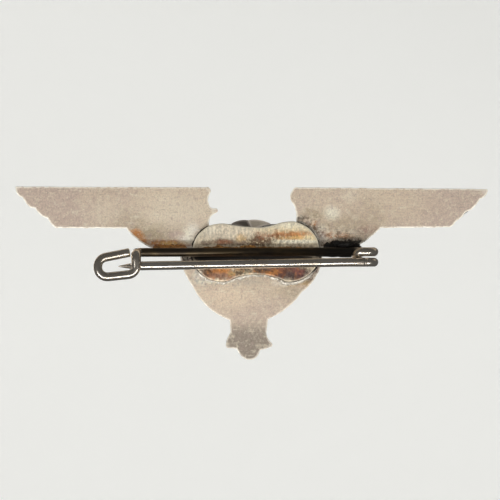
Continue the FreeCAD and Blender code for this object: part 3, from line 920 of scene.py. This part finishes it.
# ---------------------------------------------------------------- shield, enamel and star
def shield():
    """Heart-shaped shield with a half-round rim, a bar across and a row of beads on the rim."""
    heap = Heap()
    loop = resample(flat_loop("centre_shield", SHIELD_HIGH.y), 0.14)
    half = SHIELD_RIM / 2
    sunk = ENAMEL_LOW.y - SHIELD_LOW.y + 0.2

    def front_lift(x, z, d):
        off = (d - half) / half
        return -0.3 * (1 - math.sqrt(max(0.0, 1 - off * off))) if d < SHIELD_RIM else -sunk

    plate(
        heap, loop, SHIELD_LOW.y, SHIELD_HIGH.y, 0.5, 0.12, front_lift, level,
        (0.03, 0.09, 0.17, 0.27, 0.38, 0.48, 0.59, 0.69, 0.78, 0.85, 0.89, 0.93),
    )
    heap.values = [0.0 if d < SHIELD_RIM - 0.12 else 0.8 for d in heap.values]
    ends = [side * 7.35 for side in (-1, 1)]
    bar_z = (ENAMEL_HIGH.z + CHIEF_LOW) / 2
    bar = [Vector((x, ENAMEL_LOW.y + 0.08, bar_z)) for x in np.linspace(ends[0], ends[1], 60)]
    tube(heap, bar, lambda share: (CHIEF_LOW - ENAMEL_HIGH.z) / 2 + 0.02, 20, 0.1, 0.1)
    for x, z in resample(shifted(loop, -half), 0.46, 9.0):
        blob(heap, (x, SHIELD_LOW.y + 0.02, z), (0.17, 0.15, 0.17), 0.0, 1.0)
    piece("centre_shield", heap, RELIEF)


shield()

for enamel_node, glass, finish in (
    ("enamel_field", "dark_enamel", DARK_ENAMEL), ("enamel_chief", "light_enamel", LIGHT_ENAMEL),
):
    fired = Heap()
    plate(
        fired, resample(flat_loop(enamel_node, ENAMEL_LOW.y), 0.16), ENAMEL_LOW.y, ENAMEL_HIGH.y, 0.3, 0.1,
        lambda x, z, d: 0.08 * (1 - math.exp(-d / 0.7)), level, (0.03, 0.08, 0.2, 0.4),
    )
    piece(enamel_node, fired, finish)


def compass_star():
    """Eight points, each with a ridge from the middle to its tip."""
    heap = Heap()
    long_reach = (STAR_HIGH.z - STAR_LOW.z) / 2
    reaches = (long_reach, 0.75, 0.575 * long_reach, 0.75)
    rim_y = STAR_HIGH.y - 0.16
    corners = []
    for i in range(16):
        turn = 2 * math.pi * i / 16
        corners.append((reaches[i % 4] * math.sin(turn), STAR_Z + reaches[i % 4] * math.cos(turn)))
    points = [(0, STAR_LOW.y, STAR_Z)]
    points += [(x, rim_y, z) for x, z in corners] + [(x, STAR_HIGH.y, z) for x, z in corners]
    faces = [tuple(range(17, 33))]
    for i in range(16):
        after = (i + 1) % 16
        faces.append((0, 1 + i, 1 + after))
        faces.append((1 + i, 17 + i, 17 + after, 1 + after))
    heap.add(points, faces, [0.0] + [0.15, 0.7] * 8 + [0.8] * 16)
    piece("compass_star", heap, RELIEF, smooth=False)
    stud = Heap()
    radius = (box_mm("star_stud")[1].x - box_mm("star_stud")[0].x) / 2
    blob(stud, (0.0, STAR_LOW.y + 0.08, STAR_Z), (radius, 0.34, radius), 0.0, 1.0)
    piece("star_stud", stud, RELIEF)


compass_star()


# ---------------------------------------------------------------- plate and solder on the back
def back_plate():
    """Two-lobed plate. Gives its outline."""
    loop = resample(flat_loop("back_plate", BACK_TOP), 0.14)
    heap = Heap()
    plate(
        heap, ragged(loop, 0.05, 0.9, 8.0), 0.0, BACK_TOP, 0.3, 0.2, level,
        lambda x, z, d: 0.03 * wobble(x, z, 0.35, 9.0), (0.04, 0.12, 0.22, 0.4),
    )
    piece("back_plate", heap, BACK_SHEET, value="edge")
    return loop


lobes = back_plate()


def plate_fillet():
    """Uneven film of solder in the corner round the two-lobed plate, wherever there is sheet behind it, dark next
    to the plate as painted shadow of its edge.
    """
    heap = Heap()
    spots = np.array(lobes)
    backed = np.zeros(len(lobes), bool)
    for outline in outlines.values():
        backed |= inside(outline, spots)
    outward = normals(lobes)
    start = next(i for i in range(len(lobes)) if backed[i] and not backed[i - 1])
    runs = [[]]
    for step in range(len(lobes)):
        i = (start + step) % len(lobes)
        if backed[i]:
            runs[-1].append(i)
        elif runs[-1]:
            runs.append([])
    for run in (run for run in runs if len(run) > 6):
        sections, values = [], []
        for position, i in enumerate(run):
            x, z = lobes[i]
            nx, nz = outward[i]
            below = max(0.0, min(1.0, (-z - 2.2) / 1.2))
            granular = max(0.0, min(1.0, (-x - 5.5) / 1.5)) * (z > 0)
            swell = 1 + 0.7 * wobble(x, z, 1.3, 11.0) + 0.5 * wobble(x, z, 3.1, 12.0)
            taper = min(1.0, (min(position, len(run) - 1 - position) + 0.5) / 4)
            wide = max(0.08, (0.17 + 0.22 * below + 0.16 * granular) * swell) * taper
            high = max(0.05, (0.16 + 0.1 * below + 0.14 * granular) * swell) * taper
            outline = [(-0.22, high), (-0.02, high), (0.25 * wide, 0.45 * high), (0.55 * wide, 0.2 * high),
                       (wide, 0.01), (wide, -0.03), (-0.22, -0.03)]
            sections.append([(x + nx * off, y, z + nz * off) for off, y in outline])
            # Painted shadow of the plate's edge: dark next to its wall, lighter on the lower edges that face the
            # light and in the granular parts.
            soot_and_shade_share = (1.0 - 0.85 * below) * (1.0 - 0.6 * granular)
            values.append([1.0, 1.0, soot_and_shade_share, 0.75 * soot_and_shade_share, 0.6 * soot_and_shade_share, 0.6 * soot_and_shade_share, 1.0])
        loft(heap, sections, values)
    piece("back_plate_solder", heap, SOLDER, value="soot_and_shade")


plate_fillet()


def leg_fillet(heap, x_low, x_high, foot_y, foot_low, climb, seed, soot_and_shade):
    """Uneven run of brazing between a plate's face and the upper side of the fixed leg."""
    columns = int((x_high - x_low) / 0.12)
    rows = 9
    sections, values = [], []
    for i in range(columns + 1):
        x = x_low + (x_high - x_low) * i / columns
        middle = 2 * i / columns - 1
        full = math.sqrt(max(0.0, 1 - abs(middle) ** 3))
        top = Vector((LEG_Y + 0.12, leg_z(x) + 0.97 * WIRE_R))
        rise = climb * full * (1 + 0.6 * wobble(x, 0.0, 1.1, seed) + 0.35 * wobble(x, 0.0, 3.3, seed + 2))
        foot = Vector((foot_y - 0.02, foot_low + max(0.03, rise)))
        corner = Vector((foot_y + 0.3 * (top.x - foot_y), top.y + 0.1))
        section = []
        for j in range(rows):
            t = j / (rows - 1)
            spot = foot * (1 - t) ** 2 + corner * 2 * t * (1 - t) + top * t * t
            bulge = 0.13 * math.sin(math.pi * t) * full * wobble(x, t * 2.0, 2.4, seed + 5)
            section.append((x, spot.x + bulge, spot.y + bulge))
        section.append((x, LEG_Y, leg_z(x)))
        section.append((x, foot_y - 0.02, min(foot_low, foot.y - 0.02)))
        sections.append(section)
        values.append([soot_and_shade] * len(section))
    loft(heap, sections, values)


# Each run of brazing: x from and to, the face it stands on, its lower edge, climb, seed, soot and shade.
BRAZE_RUNS = {
    "leg_solder_right": (8.9, 13.7, 0.0, SEAM_TOP + 0.02, 0.42, 3.0, 0.12),
    "leg_solder_left": (-14.6, -10.1, 0.0, SEAM_TOP + 0.02, 0.95, 9.0, 0.9),
    "leg_solder_middle": (-8.7, 8.0, BACK_TOP, 0.1, 0.75, 15.0, 0.35),
}
# Each lump on a run: centre, radii, roughness, seed, soot and shade. The last three sit under the leg, black as
# painted shade between the leg and the pin.
BRAZE_LUMPS = {
    "leg_solder_right": [((12.9, 0.62, 0.55), (0.55, 0.42, 0.32), 0.35, 2.0, 0.15)],
    "leg_solder_left": [
        ((-13.4, 0.85, 0.95), (1.25, 0.62, 0.48), 0.45, 5.0, 1.0),
        ((-12.1, 0.55, 1.15), (0.8, 0.45, 0.42), 0.45, 7.0, 1.0),
        ((-14.6, 0.75, 0.75), (0.75, 0.5, 0.36), 0.45, 9.0, 1.0),
        ((-11.0, 0.5, 0.85), (0.7, 0.4, 0.3), 0.45, 12.0, 1.0),
        ((-13.2, 1.3, -0.52), (1.3, 0.45, 0.2), 0.35, 21.0, 1.0),
        ((-11.2, 1.3, -0.5), (1.4, 0.4, 0.19), 0.35, 22.0, 1.0),
        ((-9.6, 1.3, -0.5), (0.9, 0.4, 0.17), 0.35, 23.0, 1.0),
    ],
}
for braze_node, braze_run in BRAZE_RUNS.items():
    braze = Heap()
    leg_fillet(braze, *braze_run)
    for lump in BRAZE_LUMPS.get(braze_node, ()):
        blob(braze, *lump)
    piece(braze_node, braze, BRAZE, value="soot_and_shade")

# ---------------------------------------------------------------- wire
PIN_TIP = Vector((18.56, 2.66, -2.0))
PIN_TAPER = 3.2
PIN_BEND = Vector((-13.4, PIN_Y, COIL_BOTTOM))
LOOP_X = 21.4
HOOK_CORNERS = [
    (COIL_X, LEG_Y, COIL_TOP), (HOOK_X, LEG_Y, HOOK_Z), (HOOK_X, HOOK_Y, -0.3), (HOOK_X, HOOK_Y, -3.05),
    (LOOP_X, HOOK_Y, -3.62), (LOOP_X, 3.7, -0.95), (16.95, 3.1, -0.06),
]
HOOK_SHARE = 0.72           # how far along the fixed wire the hook crosses the pin
fixed = Heap()
tube(
    fixed, rounded(HOOK_CORNERS, (0.95, 0.95, 1.2, 1.36, 1.36)),
    lambda share: WIRE_R * (1 + 0.12 * math.exp(-(((share - HOOK_SHARE) / 0.03) ** 2))), 36, 0.0, 0.1,
)
piece("fixed_wire_and_hook", fixed, WIRE, ("fixed_leg", "catch_hook"))

pin_root = Vector((COIL_X, PIN_Y, COIL_BOTTOM))
pin_length = (PIN_TIP - pin_root).length


def pin_radius(share):
    left = (1 - share) * pin_length / PIN_TAPER
    return WIRE_R * (1.0 if left > 1 else 0.08 + 0.92 * left ** 0.85)


pin = Heap()
tube(pin, rounded([pin_root, PIN_BEND, PIN_TIP], (8.0,)), pin_radius, 32, 0.0, 0.03)
piece("pin_shaft", pin, WIRE, body="pin")


def coil_turns():
    """A level outer half turn from the leg, an inner half turn that drops, and a level one to the pin."""
    path = []
    steps = 72
    for half in range(3):
        for i in range(steps + (half == 2)):
            share = i / steps
            angle = -math.pi / 2 - math.pi * (half + share)
            fall = (0.0, 0.5 - 0.5 * math.cos(math.pi * share), 1.0)[half]
            path.append(Vector((
                COIL_X + COIL_R * math.cos(angle), COIL_Y + COIL_R * math.sin(angle),
                COIL_TOP + (COIL_BOTTOM - COIL_TOP) * fall,
            )))
    return path


coil = Heap()
tube(coil, coil_turns(), lambda share: WIRE_R, 32, 0.0, 0.0)
spring = piece("spring_coil", coil, WIRE, body=None)
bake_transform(spring)

# ---------------------------------------------------------------- CAD nodes that keep their shape
for node in ("seam_solder_right", "seam_solder_left", "shield_solder"):
    frame["nodes"][node].data.materials.clear()
    frame["nodes"][node].data.materials.append(SOLDER)

# ---------------------------------------------------------------- stage, lights and camera
STAGE_Z = -200.0            # millimetres, as in all meshes
STAGE_FLAT = 360.0
STAGE_R = 550.0
STAGE_WALL = 300.0
STAGE_MIDDLE = 200.0        # radius of the flat disc in the middle
STAGE_GLOW = 0.34
WORLD_GLOW = 0.22
WORLD_GREY = (0.5, 0.5, 0.5, 1)


def bowl():
    """Round studio floor that curves up into a low wall, pale all over."""
    curve = STAGE_R - STAGE_FLAT
    profile = [(STAGE_MIDDLE, 0.0), (STAGE_FLAT, 0.0)]
    for turn in np.linspace(0.1, math.pi / 2, 14):
        profile.append((STAGE_FLAT + curve * math.sin(turn), curve * (1 - math.cos(turn))))
    profile.append((STAGE_R, STAGE_WALL))
    sides = 96
    points = [(0.0, 0.0, STAGE_Z)]
    for r, rise in profile:
        for k in range(sides):
            turn = 2 * math.pi * k / sides
            points.append((r * math.cos(turn), r * math.sin(turn), STAGE_Z + rise))
    middle = [(0, 1 + k, 1 + (k + 1) % sides) for k in range(sides)]
    faces = middle + [face[::-1] for face in joined(len(profile), sides, 1)]
    mesh = bpy.data.meshes.new("studio_floor")
    mesh.from_pydata([Vector(p) * MM for p in points], [], faces)
    mesh.polygons.foreach_set("use_smooth", [True] * len(mesh.polygons))
    s = Shade("studio_floor")
    pale = s.mix(s.noise(0.01, 2.0), (0.78, 0.78, 0.76), (0.82, 0.82, 0.8))
    s.put(pale, s.bsdf.inputs["Emission Color"])
    mesh.materials.append(s.finish(pale, 0.9, 0.0, Emission_Strength=STAGE_GLOW))
    floor = bpy.data.objects.new("studio_floor", mesh)
    floor.visible_glossy = False
    bpy.context.scene.collection.objects.link(floor)


bowl()


def lamp(name, place, wide, high, watts, mirrored):
    """Soft rectangular lamp that faces the badge. The wires reflect it if it is mirrored."""
    data = bpy.data.lights.new(name, "AREA")
    data.shape = "RECTANGLE"
    data.size = wide
    data.size_y = high
    data.energy = watts
    thing = bpy.data.objects.new(name, data)
    thing.location = place
    thing.rotation_euler = (-Vector(place)).to_track_quat("-Z", "Y").to_euler()
    thing.visible_camera = False
    thing.visible_glossy = mirrored
    bpy.context.scene.collection.objects.link(thing)


# Each lamp: name, place, width, height, watts, and whether the wires mirror it. Metres.
for lamp_settings in (
    ("strip_below_back", (0.0, 0.17, -0.115), 0.44, 0.022, 0.38, True),
    ("soft_back", (0.04, 0.4, 0.26), 0.4, 0.2, 0.57, False),
    ("side_glint", (0.24, 0.3, -0.1), 0.08, 0.16, 0.16, True),
    ("soft_front", (-0.18, -0.36, 0.22), 0.3, 0.3, 0.8, False),
    ("fill_front", (0.2, -0.34, 0.05), 0.26, 0.3, 0.35, True),
):
    lamp(*lamp_settings)

world = bpy.data.worlds.new("studio")
world.use_nodes = True
backdrop = world.node_tree.nodes["Background"]
backdrop.inputs["Color"].default_value = WORLD_GREY
backdrop.inputs["Strength"].default_value = WORLD_GLOW
bpy.context.scene.world = world

VIEW_WIDE = 0.0698          # width that the camera sees, in metres
VIEW_FROM = (0.00014, 0.32, 0.00028)
camera_data = bpy.data.cameras.new("camera")
camera_data.type = "ORTHO"
camera_data.ortho_scale = VIEW_WIDE
camera_data.clip_start = 0.01
camera_data.clip_end = 5.0
camera = bpy.data.objects.new("camera", camera_data)
camera.location = VIEW_FROM
camera.rotation_euler = (math.pi / 2, 0, math.pi)
bpy.context.scene.collection.objects.link(camera)
bpy.context.scene.camera = camera
bpy.context.scene.view_settings.view_transform = "Standard"
